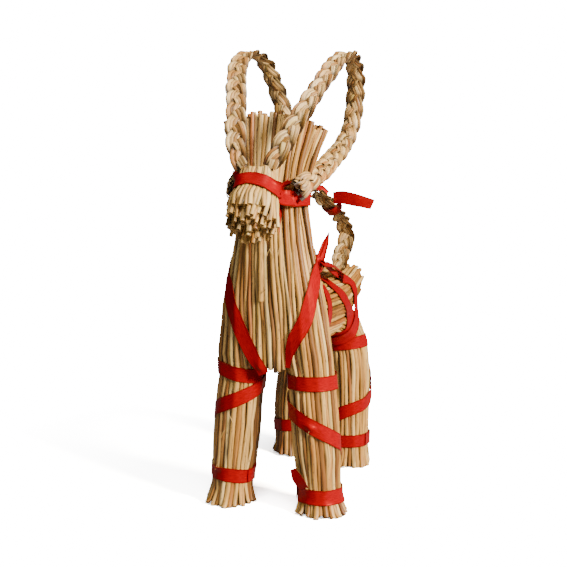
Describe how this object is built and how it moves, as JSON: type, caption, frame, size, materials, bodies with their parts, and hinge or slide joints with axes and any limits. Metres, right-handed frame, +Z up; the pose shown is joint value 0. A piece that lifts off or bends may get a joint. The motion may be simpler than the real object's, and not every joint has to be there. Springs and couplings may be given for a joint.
{
  "type": "straw goat ornament",
  "caption": "Yule goat of bundled rye straw standing on four feet, with plaited loop horns and tail, tied with red satin ribbon.",
  "frame": {"origin": "on the ground under the middle of the goat's bounding box", "axes": "+Z up, -Y the way the goat faces, +X to the goat's left"},
  "size_m": [0.1032, 0.2064, 0.3239],
  "materials": {
    "straw": "natural dried rye straw, waxy satin",
    "plaited_straw": "flattened, plaited rye straw, satin",
    "satin_ribbon": "red satin weave, soft sheen"
  },
  "bodies": {
    "root": {"front_bundle": "straw", "rear_bundle": "straw", "muzzle_bundle": "straw", "horn_right": "plaited_straw", "horn_left": "plaited_straw", "tail_braid": "plaited_straw", "head_ribbon": "satin_ribbon", "harness_ribbon": "satin_ribbon", "barrel_ribbon": "satin_ribbon", "rump_ribbon": "satin_ribbon", "tail_ribbon": "satin_ribbon", "front_right_leg_ribbon": "satin_ribbon", "front_left_leg_ribbon": "satin_ribbon", "hind_right_leg_ribbon": "satin_ribbon", "hind_left_leg_ribbon": "satin_ribbon"}
  },
  "joints": []
}
